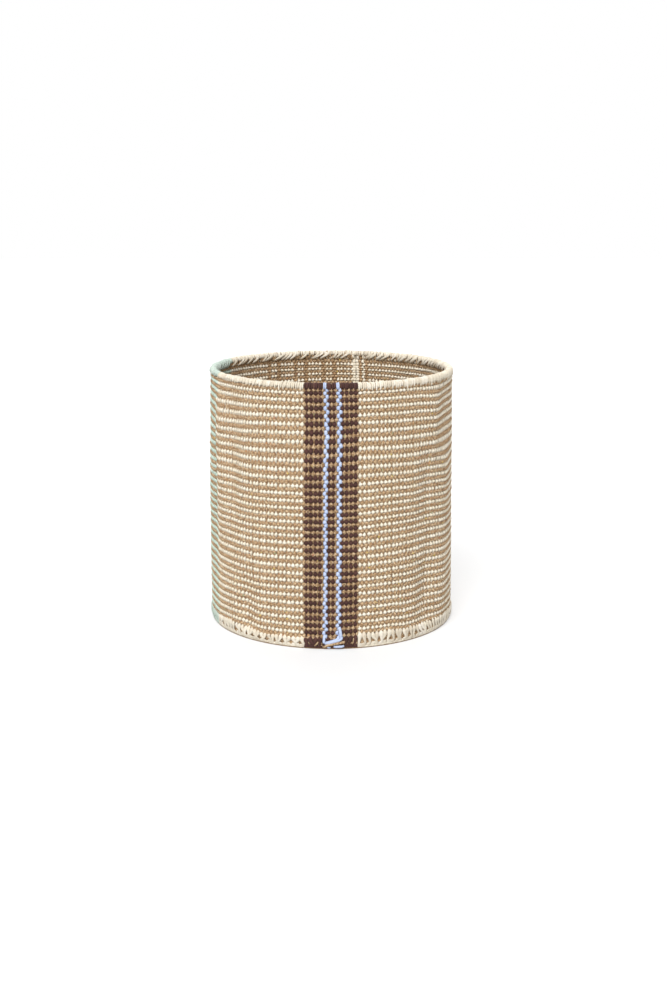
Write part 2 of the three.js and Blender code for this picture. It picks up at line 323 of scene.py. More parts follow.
def spun_yarn(name, shades, painted_side_shade=0.72, slubs=0.0, flecks=0.0):
    """Two plies of soft cotton twined together: matt, each float a little lighter or darker than the next.
    Painted shade darkens the groove between the plies and the sides of each float, where its neighbours
    shade it. Recycled yarn has slubs and flecks."""
    material = bpy.data.materials.new(name)
    material.use_nodes = True
    tree = material.node_tree
    tree.nodes.clear()
    lay = node(tree, "Attribute", {"attribute_name": "lay"})
    tint = node(tree, "Attribute", {"attribute_name": "tint"})
    place = node(tree, "TexCoord").outputs["Object"]
    axes = node(tree, "SeparateXYZ", Vector=lay.outputs["Vector"])
    across, through, along = (axes.outputs[axis] for axis in "XYZ")

    turn = node(tree, "Math", {"operation": "MULTIPLY"}, _0=along, _1=2 * math.pi / TWIST_MM)
    sine = node(tree, "Math", {"operation": "SINE"}, _0=turn.outputs[0])
    cosine = node(tree, "Math", {"operation": "COSINE"}, _0=turn.outputs[0])
    part = node(tree, "Math", {"operation": "MULTIPLY"}, _0=across, _1=sine.outputs[0])
    lie = node(
        tree, "Math", {"operation": "MULTIPLY_ADD"}, _0=through, _1=cosine.outputs[0], _2=part.outputs[0]
    )
    ply = node(tree, "Math", {"operation": "ABSOLUTE"}, _0=lie.outputs[0])
    hairs = node(tree, "TexNoise", Vector=place, Scale=HAIRS_PER_MM / MM, Detail=3.0, Roughness=0.6)

    dye = node(tree, "ValToRGB", Fac=tint.outputs["Fac"])
    set_ramp(dye.color_ramp, [(i / (len(shades) - 1), shade) for i, shade in enumerate(shades)])
    worn = node(
        tree, "MapRange", Value=hairs.outputs["Fac"], From_Min=0.3, From_Max=0.7, To_Min=0.86, To_Max=1.06
    )
    # Painted shade: the groove between the two plies is drawn darker.
    groove = node(tree, "MapRange", Value=ply.outputs[0], From_Min=0.0, From_Max=0.5, To_Min=0.8, To_Max=1.0)
    # Painted shade: each float is drawn darker towards its sides, where its neighbours shade it.
    side = node(tree, "Math", {"operation": "ABSOLUTE"}, _0=across)
    painted_side_shadow = node(
        tree, "MapRange", Value=side.outputs[0], From_Min=0.4, From_Max=1.0, To_Min=1.0, To_Max=painted_side_shade
    )
    hairs_and_groove_shade = node(tree, "Math", {"operation": "MULTIPLY"}, _0=worn.outputs[0], _1=groove.outputs[0])
    tone_and_painted_shade = node(tree, "Math", {"operation": "MULTIPLY"}, _0=hairs_and_groove_shade.outputs[0], _1=painted_side_shadow.outputs[0])
    dye_and_painted_shade = node(
        tree, "VectorMath", {"operation": "SCALE"}, _0=dye.outputs["Color"], Scale=tone_and_painted_shade.outputs[0]
    )
    colour_and_painted_shade = dye_and_painted_shade.outputs[0]

    if slubs:
        blend = node(tree, "TexNoise", Vector=place, Scale=SLUBS_PER_MM / MM, Detail=2.0)
        share = node(tree, "MapRange", Value=blend.outputs["Fac"], From_Min=0.38, From_Max=0.62)
        fibres = node(tree, "ValToRGB", Fac=share.outputs[0])
        set_ramp(fibres.color_ramp, SLUB_SHADES)
        spun = node(tree, "Mix", {"data_type": "RGBA"}, _0=slubs, _6=colour_and_painted_shade, _7=fibres.outputs["Color"])
        colour_and_painted_shade = spun.outputs[2]
    if flecks:
        cells = node(tree, "TexVoronoi", Vector=place, Scale=FLECKS_PER_MM / MM)
        draw = node(tree, "SeparateXYZ", Vector=cells.outputs["Color"])
        chosen = node(tree, "Math", {"operation": "GREATER_THAN"}, _0=draw.outputs["X"], _1=1 - flecks)
        colours = node(tree, "ValToRGB", Fac=draw.outputs["Y"])
        colours.color_ramp.interpolation = "CONSTANT"
        set_ramp(colours.color_ramp, FLECK_SHADES)
        flecked = node(
            tree, "Mix", {"data_type": "RGBA"}, _0=chosen.outputs[0], _6=colour_and_painted_shade, _7=colours.outputs["Color"]
        )
        colour_and_painted_shade = flecked.outputs[2]

    relief = node(
        tree, "Math", {"operation": "MULTIPLY_ADD"}, _0=hairs.outputs["Fac"], _1=0.35, _2=ply.outputs[0]
    )
    bump = node(tree, "Bump", Height=relief.outputs[0], Strength=0.5, Distance=GROOVE_MM * MM)
    cotton = node(
        tree, "BsdfPrincipled", Base_Color=colour_and_painted_shade, Normal=bump.outputs[0], Roughness=0.95, Sheen_Weight=0.02,
        Sheen_Roughness=0.5,
    )
    node(tree, "OutputMaterial", Surface=cotton.outputs[0])
    return material


def dress(piece, material, slot, *nodes):
    """Gives a finished piece its material, hangs it on the root body and hides the model's parts that it
    stands for.
    """
    piece.data.materials.append(material)
    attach(piece, "root")
    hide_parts(*nodes)


WEFT_STATIONS = 94
WEFT_HALF_HEIGHT = 1.9
WEFT_HALF_THICK = 0.95
WEFT_MIDDLE_COLUMN = 87.5
WEFT_GAP_COLUMNS = 0.3
LOWEST_WEFT = 0.3
BORDER_COURSES = 3

# Plied tan cotton cord, dull and dark, because it is seen only deep between the warps.
WEFT_COTTON = spun_yarn("tan_cotton_cord", ("#8A6C4C", "#A07F5A"))

weft, course, station, rise, inward = straight_yarns(
    "weft_courses", PICKS + BORDER_COURSES, WEFT_STATIONS, sides=5
)
course = course - BORDER_COURSES
weft_column = (station / (WEFT_STATIONS - 1) - 0.5) * (COLUMNS - WEFT_GAP_COLUMNS) + WEFT_MIDDLE_COLUMN
weft_height = np.maximum(pick_height(weft_column, course) + rise * WEFT_HALF_HEIGHT, LOWEST_WEFT)
weft_points = on_basket(weft_column, -inward * WEFT_HALF_THICK, weft_height)
settle(weft, weft_points, rise, inward, weft_column * COLUMN_MM, np.full(len(course), 0.5))
dress(weft, WEFT_COTTON, "tan_yarn")


# The wall's warps.
# Soft cotton yarn in columns of two: one yarn floats outside on the odd picks, its partner on the even
# ones. They are beaten so close that they hide the weft and bulge into rows of pointed ovals.
RINGS_PER_PICK = 4
YARN_PER_PICK = 4.2
CROSSING_HALF_THICK = 1.6

# How each kind of float lies: half width at its middle and at its crossing in columns, how far out it
# waves in mm and how many times that inside, how long it stays out (less is longer), how early it
# narrows to its crossing (more is earlier), and half its thickness in mm.
FULL_FLOAT = dict(
    half_width=0.565, crossing=0.15, wave=1.0, inside=1.45, stay=0.87, taper=1.1, half_thick=1.55
)
SLIM_FLOAT = dict(
    half_width=0.57, crossing=0.38, wave=0.9, inside=1.0, stay=0.8, taper=1.35, half_thick=1.55
)
DARK_FLOAT = dict(half_width=0.58, crossing=0.32, wave=1.1, inside=1.2, stay=0.7, taper=1.25, half_thick=1.5)
BAND_TAN_FLOAT = dict(
    half_width=0.52, crossing=0.2, wave=0.85, inside=1.2, stay=0.9, taper=1.3, half_thick=1.5
)
LINE_FLOAT = dict(half_width=0.47, crossing=0.36, wave=1.6, inside=1.2, stay=0.6, taper=1.0, half_thick=0.95)
SEAM_FLOAT = dict(half_width=0.6, crossing=0.54, wave=0.9, inside=1.2, stay=0.8, taper=1.0, half_thick=1.2)

# How uneven handwork leaves the floats: width, thickness and bulge as shares of themselves, a float's
# lean and its yarn's wander in columns, and a float's lift in picks. Then, how much of a float's shade
# comes from its yarn.
UNEVEN = dict(width=0.09, thick=0.06, bulge=0.16, lean=0.045, wander=0.012, lift=0.1)
YARN_SHADE_SHARE = 0.25
chance = np.random.default_rng(186)


def wall_warps(name, homes, outside_on_odd, kind, material, slot, *nodes):
    """A set of warps, each waving in and out between the courses. Homes are their middles in columns."""
    rings = PICKS * RINGS_PER_PICK + 1
    piece, yarn, ring, across, through = straight_yarns(name, len(homes), rings)
    pick = ring / RINGS_PER_PICK - 0.5
    nearest = np.clip(np.rint(pick), 0, PICKS - 1).astype(int)
    swing = np.cos(np.pi * (pick - (1 if outside_on_odd else 0)))
    fullness = np.abs(swing) ** kind["taper"]
    wave = np.sign(swing) * np.abs(swing) ** kind["stay"] * kind["wave"]
    wave = wave * np.where(swing < 0, kind["inside"], 1)

    uneven = chance.normal(0, 1, (4, len(homes), PICKS))
    wander = np.cumsum(chance.normal(0, 1, (len(homes), PICKS)), axis=1)
    wander = wander - np.linspace(0, 1, PICKS) * wander[:, -1:]
    width, lean, lift, bulge = uneven[:, yarn, nearest]
    wide = kind["half_width"] * (1 + UNEVEN["width"] * width)
    thick = kind["half_thick"] * (1 + UNEVEN["thick"] * bulge)
    half_width = kind["crossing"] + (wide - kind["crossing"]) * fullness
    half_thick = CROSSING_HALF_THICK + (thick - CROSSING_HALF_THICK) * fullness

    home = np.asarray(homes, float)[yarn]
    middle = home + UNEVEN["lean"] * lean * fullness + UNEVEN["wander"] * wander[yarn, nearest]
    outward = wave * (1 + UNEVEN["bulge"] * bulge) - through * half_thick
    height = pick_height(home, pick + UNEVEN["lift"] * lift * fullness)
    points = on_basket(middle + across * half_width, outward, height)

    float_shade = chance.random((len(homes), PICKS)) * (1 - YARN_SHADE_SHARE)
    tint = float_shade + chance.random((len(homes), 1)) * YARN_SHADE_SHARE
    settle(piece, points, across, through, ring / RINGS_PER_PICK * YARN_PER_PICK, tint[yarn, nearest])
    dress(piece, material, slot, *nodes)


# Undyed cream cotton, matt and nearly white on the crown of each float, with painted shade at its sides.
CREAM_COTTON = spun_yarn("cream_cotton_yarn", ("#F3E6CC", "#FAF0DC", "#FFF7E6"), painted_side_shade=0.5)
# Recycled cotton, spun from tan fibres of many shades: mottled, with a coloured fleck here and there.
TAN_COTTON = spun_yarn(
    "tan_recycled_cotton_yarn", ("#987958", "#AA8964", "#B38F69", "#B89774", "#C19C76"), painted_side_shade=0.42,
    slubs=0.75, flecks=0.012,
)
# Dyed cotton, even and quite matt. The dark one swallows light, so its floats show by their shape.
DARK_COTTON = spun_yarn("dark_brown_cotton_yarn", ("#40251F", "#4C2E28", "#583832"))
BLUE_COTTON = spun_yarn("light_blue_cotton_yarn", ("#BBCBEF", "#C6D4F3", "#D2DEF7"))
MINT_COTTON = spun_yarn("mint_cotton_yarn", ("#C6DCCC", "#D2E5D8", "#DEEDE3"))

# Columns are numbered from the front centre, rightwards. A warp stands in the middle of its column and
# its partner half a column to the right, but the blue partners stand closer, which makes a zigzag line.
# The seam's partners stand closer too, and two cream ones so close that each pair is a solid line.
BAND_DARK = (-6, -5, -4, -3, -1, 0, 2, 3, 4, 5)
BAND_BLUE = (-2, 1)
RIGHT_FRONT = range(6, 44)
RIGHT_BACK = range(44, 83)
SEAM_TAN = (83.4, 85.0)
SEAM_ZIGZAG = (84.05,)
SEAM_CREAM = (85.95, 86.9)
BACK = range(87, 126)
BACK_TAN = (92, 95, 100, 103, 108, 111)
BACK_CREAM = [column for column in BACK if column not in BACK_TAN]
MINT_SIDE = range(126, 152)
LEFT = range(152, 180)
PARTNER = 0.5
BLUE_PARTNER = 0.47
SOLID_PARTNER = 0.1
ZIGZAG_PARTNER = 0.4
SEAM_TAN_PARTNER = 0.3


def middles(columns, shift=0.0):
    return [column + 0.5 + shift for column in columns]


def beside(homes, shift):
    return [home + shift for home in homes]


CREAM = FULL_FLOAT, CREAM_COTTON, "cream_yarn"
CREAM_LINE = LINE_FLOAT, CREAM_COTTON, "cream_yarn"
CREAM_SEAM = SEAM_FLOAT, CREAM_COTTON, "cream_yarn"
MINT = FULL_FLOAT, MINT_COTTON, "mint_yarn"
TAN = FULL_FLOAT, TAN_COTTON, "tan_yarn"
TAN_PARTNER = SLIM_FLOAT, TAN_COTTON, "tan_yarn"
DARK = DARK_FLOAT, DARK_COTTON, "dark_yarn"
BAND_TAN = BAND_TAN_FLOAT, TAN_COTTON, "tan_yarn"
BLUE = LINE_FLOAT, BLUE_COTTON, "blue_yarn"
BAND_WALLS = "dark_left_wall", "dark_centre_wall", "dark_right_wall"
BLUE_WALLS = "blue_left_wall", "blue_right_wall"
RIGHT_WALL = ("natural_right_wall",)
SEAM_WALL = ("seam_wall",)
BACK_WALL = ("natural_back_wall",)
MINT_WALL = ("mint_wall",)
LEFT_WALL = ("natural_left_wall",)

# Each set of warps: its name, where they stand, whether they float outside on the odd picks, their kind
# of float and yarn, and the walls that they make.
WARPS = (
    ("dark_warps", middles(BAND_DARK), True, DARK, BAND_WALLS),
    ("tan_warps_band", middles(BAND_DARK, PARTNER), False, BAND_TAN, BAND_WALLS),
    ("blue_warps", middles(BAND_BLUE), True, BLUE, BLUE_WALLS),
    ("blue_partners", middles(BAND_BLUE, BLUE_PARTNER), False, BLUE, BLUE_WALLS),
    ("cream_warps_right_front", middles(RIGHT_FRONT), True, CREAM, RIGHT_WALL),
    ("tan_warps_right_front", middles(RIGHT_FRONT, PARTNER), False, TAN_PARTNER, RIGHT_WALL),
    ("cream_warps_right_back", middles(RIGHT_BACK), True, CREAM, RIGHT_WALL),
    ("tan_warps_right_back", middles(RIGHT_BACK, PARTNER), False, TAN_PARTNER, RIGHT_WALL),
    ("cream_seam_solid", SEAM_CREAM, True, CREAM_SEAM, SEAM_WALL),
    ("cream_seam_solid_partner", beside(SEAM_CREAM, SOLID_PARTNER), False, CREAM_SEAM, SEAM_WALL),
    ("cream_seam_zigzag", SEAM_ZIGZAG, True, CREAM_LINE, SEAM_WALL),
    ("cream_seam_zigzag_partner", beside(SEAM_ZIGZAG, ZIGZAG_PARTNER), False, CREAM_LINE, SEAM_WALL),
    ("tan_seam", SEAM_TAN, True, TAN, SEAM_WALL),
    ("tan_seam_partners", beside(SEAM_TAN, SEAM_TAN_PARTNER), False, TAN_PARTNER, SEAM_WALL),
    ("cream_warps_back", middles(BACK_CREAM), True, CREAM, BACK_WALL),
    ("tan_lines_back", middles(BACK_TAN), True, TAN, BACK_WALL),
    ("tan_warps_back", middles(BACK, PARTNER), False, TAN_PARTNER, BACK_WALL),
    ("mint_warps", middles(MINT_SIDE), True, MINT, MINT_WALL),
    ("tan_warps_mint", middles(MINT_SIDE, PARTNER), False, TAN_PARTNER, MINT_WALL),
    ("cream_warps_left", middles(LEFT), True, CREAM, LEFT_WALL),
    ("tan_warps_left", middles(LEFT, PARTNER), False, TAN_PARTNER, LEFT_WALL),
)
for name, homes, outside_on_odd, sort, walls in WARPS:
    wall_warps(name, homes, outside_on_odd, *sort, *walls)


# The rim.
# The warps turn inwards over a tan cord at the top and make a smooth band. Inside, their ends are sewn
# down with slanting flat stitches, and the tan ends show between these.

# How the yarns turn over the rim, how their ends lie inside it and how the stitches hold these: mm
# outward and height. Reach raises the first part of the way, and slant moves what follows sideways.
RIM_TURN = (
    (1.2, 259.0), (2.0, 260.0), (2.1, 261.2), (2.0, 262.6), (1.7, 263.9), (0.6, 264.9), (-0.9, 265.0),
    (-2.2, 264.5), (-3.1, 263.5), (-3.3, 262.2), (-2.7, 261.0),
)
INNER_TURN = ((-1.2, 264.0), (-2.3, 263.2), (-2.9, 261.3), (-3.0, 259.6), (-2.7, 258.0), (-1.4, 257.0))
STITCH_TURN = (
    (-1.6, 264.9), (-2.9, 264.3), (-3.9, 262.9), (-4.4, 261.2), (-4.3, 259.4), (-3.6, 257.8), (-2.0, 256.8),
)
RAISED_PART = 0.35
STRAIGHT_PART = 0.25

# Where the band's lower edge lies higher: azimuth and height of the middle, reach each way, and mm.
RIM_LIFTS = (((-72, 260), (20, 50), 3.0), ((-35, 260), (12, 50), 1.0))
RIM_EDGE = 260.0

# Two yarns a column turn over the rim. Every other one starts lower, by the length of a tooth.
RIM_PAIR = 0.27, 0.73
RIM_REACH = 0.7
RIM_SLANT = 0.05
RIM_TOOTH = 1.7
BAND_TOOTH = 0.2
RIM_HALF_WIDTH = 1.1 * np.array((0.2, 0.6, 0.95, 1.0, 1.0, 1.0, 1.0, 1.0, 1.0, 0.9, 0.6))
RIM_HALF_THICK = 1.0
RIM_UNEVEN = dict(reach=0.2, slant=0.14, outward=0.22, height=0.2, width=0.1)

END_HALF_WIDTHS = 1.1, 1.9
END_HALF_THICK = 0.8
END_SLANT = 0.2
END_UNEVEN = dict(column=0.1, slant=0.3, height=0.5)

# Gaps between stitches are in columns, and the last stitch keeps off the next colour.
NARROWEST_GAP = 0.9
WIDEST_GAP = 3.6
WIDEST_GAP_RIGHT = 2.4
LAST_GAP = 0.4
MOST_STITCHES = 400
STITCH_HALF_WIDTH = (0.9, 1.3, 1.5, 1.5, 1.5, 1.2, 0.6)
STITCH_HALF_THICK = 0.6
STITCH_SLANT = 1.8
STITCH_UNEVEN = dict(reach=0.5, slant=0.6, width=0.2)


def lay_yarns(name, routes, half_width, half_thick, tint, level=False, sides=6):
    """Yarns along routes of columns, mm outward and mm high. Upright ones keep their width along the
    wall, also over the rim, and level ones lie flat on it. Sizes are in mm at each point of the route."""
    count, rings = routes.shape[:2]
    piece, yarn, ring, across, through = straight_yarns(name, count, rings, sides)
    spine = on_basket(routes[..., 0], routes[..., 1], routes[..., 2])
    along = np.gradient(spine, axis=1)
    along = along / np.linalg.norm(along, axis=-1, keepdims=True)
    turn = np.radians(azimuth_at(routes[..., 0], routes[..., 2]))
    if level:
        side = np.cross(along, np.stack([np.sin(turn), -np.cos(turn), 0 * turn], axis=-1))
        side = side / np.linalg.norm(side, axis=-1, keepdims=True)
        face = np.cross(side, along)
    else:
        face = np.cross(np.stack([np.cos(turn), np.sin(turn), 0 * turn], axis=-1), along)
        face = face / np.linalg.norm(face, axis=-1, keepdims=True)
        side = np.cross(along, face)
    wide = (across * np.broadcast_to(half_width, (count, rings))[yarn, ring])[:, None] * MM
    thick = (through * np.broadcast_to(half_thick, (count, rings))[yarn, ring])[:, None] * MM
    points = spine[yarn, ring] + side[yarn, ring] * wide - face[yarn, ring] * thick
    length = np.linalg.norm(np.diff(spine, axis=1), axis=-1).cumsum(axis=1) / MM
    length = np.concatenate([np.zeros((count, 1)), length], axis=1)
    settle(piece, points, across, through, length[yarn, ring], np.asarray(tint)[yarn])
    return piece


def turned_routes(profile, columns, reach, slant):
    """One route a column, from a profile of mm outward and height."""
    profile = np.array(profile)
    steps = np.linspace(0, 1, len(profile))
    shift = slant[:, None] * smooth(STRAIGHT_PART, 1, steps)[None, :]
    outward = np.broadcast_to(profile[:, 0], shift.shape)
    height = profile[:, 1] + reach[:, None] * (1 - smooth(0, RAISED_PART, steps))[None, :]
    return np.stack([columns[:, None] + shift, outward, height], axis=-1)


def rim_yarns(name, first, last, spread, tooth, material, slot, *nodes):
    """The turned-over yarns of the columns from first to last, two a column. Their lower ends make the
    band's edge a row of uneven points."""
    count = 2 * (last - first)
    middle = (first + last) / 2
    is_low = np.arange(count) % 2 == 0
    columns = first + np.arange(count) // 2 + np.where(is_low, *RIM_PAIR)
    columns = middle + (columns - middle) * spread
    rough = RIM_UNEVEN["reach"] * (1 + tooth)
    reach = RIM_REACH - tooth * is_low + chance.normal(0, rough, count)
    reach = reach + bumps(RIM_LIFTS, azimuth_at(columns, np.full(count, RIM_EDGE)), RIM_EDGE)
    slant = chance.normal(RIM_SLANT, RIM_UNEVEN["slant"], count)
    routes = turned_routes(RIM_TURN, columns, reach, slant)
    routes[..., 1] += chance.normal(0, RIM_UNEVEN["outward"], (count, 1))
    routes[..., 2] += chance.normal(0, RIM_UNEVEN["height"], (count, 1))
    half_width = RIM_HALF_WIDTH * spread * chance.normal(1, RIM_UNEVEN["width"], (count, 1))
    wraps = lay_yarns(name, routes, half_width, RIM_HALF_THICK, chance.random(count), sides=8)
    dress(wraps, material, slot, *nodes)


def inner_ends(name, columns, material, slot, *nodes):
    """The ends of the partner warps, turned down inside the rim."""
    count = len(columns)
    columns = np.array(columns) + chance.normal(0, END_UNEVEN["column"], count)
    slant = chance.normal(END_SLANT, END_UNEVEN["slant"], count)
    routes = turned_routes(INNER_TURN, columns, np.zeros(count), slant)
    routes[..., 2] += chance.normal(0, END_UNEVEN["height"], (count, 1))
    half_width = chance.uniform(*END_HALF_WIDTHS, (count, 1))
    ends = lay_yarns(name, routes, half_width, END_HALF_THICK, chance.random(count))
    dress(ends, material, slot, *nodes)


def rim_stitches(name, first, last, widest_gap, material, slot, *nodes):
    """Flat stitches inside the rim that slant down to the left as seen from the front, unevenly set."""
    gaps = chance.uniform(NARROWEST_GAP, widest_gap, MOST_STITCHES).cumsum()
    columns = first + gaps[gaps < last - first - LAST_GAP]
    count = len(columns)
    reach = chance.normal(0, STITCH_UNEVEN["reach"], count)
    slant = chance.normal(STITCH_SLANT, STITCH_UNEVEN["slant"], count)
    routes = turned_routes(STITCH_TURN, columns, reach, slant)
    half_width = np.array(STITCH_HALF_WIDTH) * chance.normal(1, STITCH_UNEVEN["width"], (count, 1))
    stitches = lay_yarns(name, routes, half_width, STITCH_HALF_THICK, chance.random(count))
    dress(stitches, material, slot, *nodes)


BAND_START = -6
BAND_END = 6
ROUND_STATIONS = 190


def once_round(gap, outward, height):
    """A level route once round the basket. Its ends keep a gap, in columns, from the band's left edge."""
    columns = np.linspace(BAND_START + gap, BAND_START + COLUMNS - gap, ROUND_STATIONS)
    return np.stack([columns, 0 * columns + outward, 0 * columns + height], axis=-1)[None]


CORE_HEIGHT = 262.4
CORE_HALF_HEIGHT = 2.0
CORE_HALF_THICK = 1.9
core_route = once_round(gap=0.15, outward=0, height=CORE_HEIGHT)
core = lay_yarns("rim_core_cord", core_route, CORE_HALF_HEIGHT, CORE_HALF_THICK, tint=[0.5], level=True)
dress(core, WEFT_COTTON, "tan_yarn", "rim_core")

# The same cream and mint cotton where it lies flat over the rim and the foot, in copies painted a shade
# darker as painted shade, with little painted shade at the sides, which lie open there.
RIM_CREAM = spun_yarn("cream_cotton_rim_yarn", ("#DFD2BD", "#ECE2CE", "#F7EEDF"), painted_side_shade=0.88)
RIM_MINT = spun_yarn("mint_cotton_rim_yarn", ("#BCCBBE", "#C8D6CB", "#D4E0D8"), painted_side_shade=0.88)

# The colour groups in order: first column, the column after the last, how wide the rim's yarns spread.
COLOUR_GROUPS = (
    ("dark_left", -6, -2, 1.0, DARK_COTTON, "dark_yarn"),
    ("blue_left", -2, -1, 0.8, BLUE_COTTON, "blue_yarn"),
    ("dark_centre", -1, 1, 1.05, DARK_COTTON, "dark_yarn"),
    ("blue_right", 1, 2, 0.8, BLUE_COTTON, "blue_yarn"),
    ("dark_right", 2, 6, 1.0, DARK_COTTON, "dark_yarn"),
    ("natural_right", 6, 83, 1.0, RIM_CREAM, "cream_yarn"),
    ("seam", 83, 87, 1.0, RIM_CREAM, "cream_yarn"),
    ("natural_back", 87, 126, 1.0, RIM_CREAM, "cream_yarn"),
    ("mint", 126, 152, 1.0, RIM_MINT, "mint_yarn"),
    ("natural_left", 152, 180, 1.0, RIM_CREAM, "cream_yarn"),
)
BAND_SLOTS = "dark_yarn", "blue_yarn"
for group, first, last, spread, material, slot in COLOUR_GROUPS:
    tooth = BAND_TOOTH if slot in BAND_SLOTS else RIM_TOOTH
    rim_yarns(f"{group}_rim_yarns", first, last, spread, tooth, material, slot, f"{group}_rim")
    if group == "seam":
        inner_ends("seam_tan_ends", SEAM_TAN, TAN_COTTON, "tan_yarn", "seam_rim")
        inner_ends("seam_cream_ends", SEAM_CREAM + SEAM_ZIGZAG, CREAM_COTTON, slot, "seam_rim")
    elif slot not in BAND_SLOTS:
        widest_gap = WIDEST_GAP_RIGHT if group == "natural_right" else WIDEST_GAP
        rim_stitches(f"{group}_rim_stitches", first, last, widest_gap, material, slot, f"{group}_rim")
        ends = middles(range(first, last))
        inner_ends(f"{group}_inner_ends", ends, TAN_COTTON, "tan_yarn", f"{group}_rim")
    elif slot == "dark_yarn":
        ends = middles(range(first, last))
        inner_ends(f"{group}_inner_ends", ends, material, slot, f"{group}_rim")


# The foot border.
# Under the lowest pick the warp ends are plaited in pairs, turned under and held by a cord at the edge.
# The two strands of a pair part, so a row of small three-cornered holes shows the tan yarn behind.
BORDER_TOP_PICK = -0.52
LEG_HALF_THICK = 0.75

# A strand of the border from its tip down and under: share of the border's height, mm outward, how far
# in columns the pair parts, and half width in mm.
LEG_COURSE = (
    (1.2, -0.2, 0.0, 0.5),
    (1.09, 1.4, 0.0, 1.3),
    (1.0, 2.4, 0.0, 2.1),
    (0.92, 2.7, 0.0, 2.4),
    (0.84, 2.7, 0.02, 2.3),
    (0.74, 2.7, 0.1, 2.0),
    (0.64, 2.7, 0.28, 1.6),
    (0.52, 2.7, 0.48, 1.3),
    (0.41, 2.6, 0.64, 1.15),
    (0.33, 2.4, 0.62, 1.3),
    (0.26, 2.2, 0.12, 2.3),
    (0.17, 1.9, 0.0, 2.6),
    (0.08, 1.3, 0.0, 2.6),
    (0.03, -0.2, 0.0, 2.4),
    (0.0, -1.6, 0.0, 2.0),
    (0.2, -2.6, 0.0, 1.8),
    (0.6, -2.5, 0.0, 1.3),
)

# How far the strands part: the least and the most share for one pair, then the share for a whole group.
PARTING = 0.1, 1.25
BAND_OPENING = 0.2
RIGHT_OPENING = 0.5
FULL_OPENING = 1.0
LEG_PAIRS = 400
LEG_TIP = 0.7
LEG_UNEVEN = dict(lean=0.5, column=0.06, top=0.35, bulge=0.35, width=0.07)


def border_legs(name, first, last, opening, material, slot, *nodes):
    """The strands of the border under the columns from first to last. Opening is how far pairs part."""
    share, outward, apart, half_width = np.array(LEG_COURSE).T
    numbers = np.arange(first, last)
    count = len(numbers)
    side = np.where(numbers % 2 == 0, -1.0, 1.0)
    pair = (numbers // 2) % LEG_PAIRS
    size = chance.uniform(*PARTING, LEG_PAIRS)[pair] * opening
    lean = chance.normal(0, LEG_UNEVEN["lean"], LEG_PAIRS)[pair]
    columns = numbers[:, None] + 0.5 + apart * (side * size)[:, None] + lean[:, None] * apart
    columns = columns + chance.normal(0, LEG_UNEVEN["column"], (count, 1))
    top = pick_height(columns, BORDER_TOP_PICK)
    top = top + chance.normal(0, LEG_UNEVEN["top"], (count, 1)) * (share > LEG_TIP)
    height = LEG_HALF_THICK + (top - LEG_HALF_THICK) * share
    bulge = LEG_UNEVEN["bulge"] * np.sin(np.pi * np.clip(share, 0, 1)) * chance.normal(0, 1, (count, 1))
    routes = np.stack([columns, outward + bulge, height], axis=-1)
    half_width = half_width * chance.normal(1, LEG_UNEVEN["width"], (count, 1))
    legs = lay_yarns(name, routes, half_width, LEG_HALF_THICK, chance.random(count), sides=8)
    dress(legs, material, slot, *nodes)


EDGE_OUTWARD = 1.3
EDGE_HEIGHT = 2.1
EDGE_HALF_HEIGHT = 1.2
EDGE_HALF_THICK = 1.1
EDGE_GAP = 0.1
EDGE_STATIONS_PER_COLUMN = 3
EDGE_UNEVEN = dict(place=0.14, width=0.1)


def edge_cord(name, first, last, material, slot, *nodes):
    """The smooth cord along the bottom edge of a colour group."""
    count = EDGE_STATIONS_PER_COLUMN * (last - first)
    columns = np.linspace(first + EDGE_GAP, last - EDGE_GAP, count)
    outward = EDGE_OUTWARD + chance.normal(0, EDGE_UNEVEN["place"], count)
    height = EDGE_HEIGHT + chance.normal(0, EDGE_UNEVEN["place"], count)
    route = np.stack([columns, outward, height], axis=-1)[None]
    half_height = EDGE_HALF_HEIGHT + chance.normal(0, EDGE_UNEVEN["width"], count)
    cord = lay_yarns(name, route, half_height, EDGE_HALF_THICK, tint=[0.5], level=True, sides=10)
    dress(cord, material, slot, *nodes)


BAND_BORDERS = "dark_left_border", "dark_centre_border", "dark_right_border"
BLUE_BORDERS = "blue_left_border", "blue_right_border"
band = BAND_START, BAND_END
border_legs("band_border_legs", *band, BAND_OPENING, DARK_COTTON, "dark_yarn", *BAND_BORDERS)
edge_cord("band_edge_cord", *band, DARK_COTTON, "dark_yarn", *BAND_BORDERS)
for group, first, last, spread, material, slot in COLOUR_GROUPS:
    if slot not in BAND_SLOTS:
        opening = RIGHT_OPENING if group == "natural_right" else FULL_OPENING
        border_legs(f"{group}_border_legs", first, last, opening, material, slot, f"{group}_border")
        edge_cord(f"{group}_edge_cord", first, last, material, slot, f"{group}_border")

# The yarns behind the plait: mm outward, height, half height and yarn. The lowest lies under the edge,
# a backing yarn of the dark weft cord that also stands in as painted shadow for the thin dark line where
# the foot meets the floor.
BACKING = (
    (1.2, 0.8, 0.7, WEFT_COTTON),
    (0.9, 3.0, 1.5, TAN_COTTON),
    (1.1, 5.6, 1.5, TAN_COTTON),
    (1.1, 8.2, 1.5, TAN_COTTON),
    (1.5, 10.6, 1.5, TAN_COTTON),
)
BACKING_HALF_THICK = 0.8
for number, (outward, height, half_height, yarn) in enumerate(BACKING):
    name = f"border_backing_{number}"
    route = once_round(0.1, outward, height)
    backing = lay_yarns(name, route, half_height, BACKING_HALF_THICK, tint=[0.6], level=True)
    dress(backing, yarn, "tan_yarn")

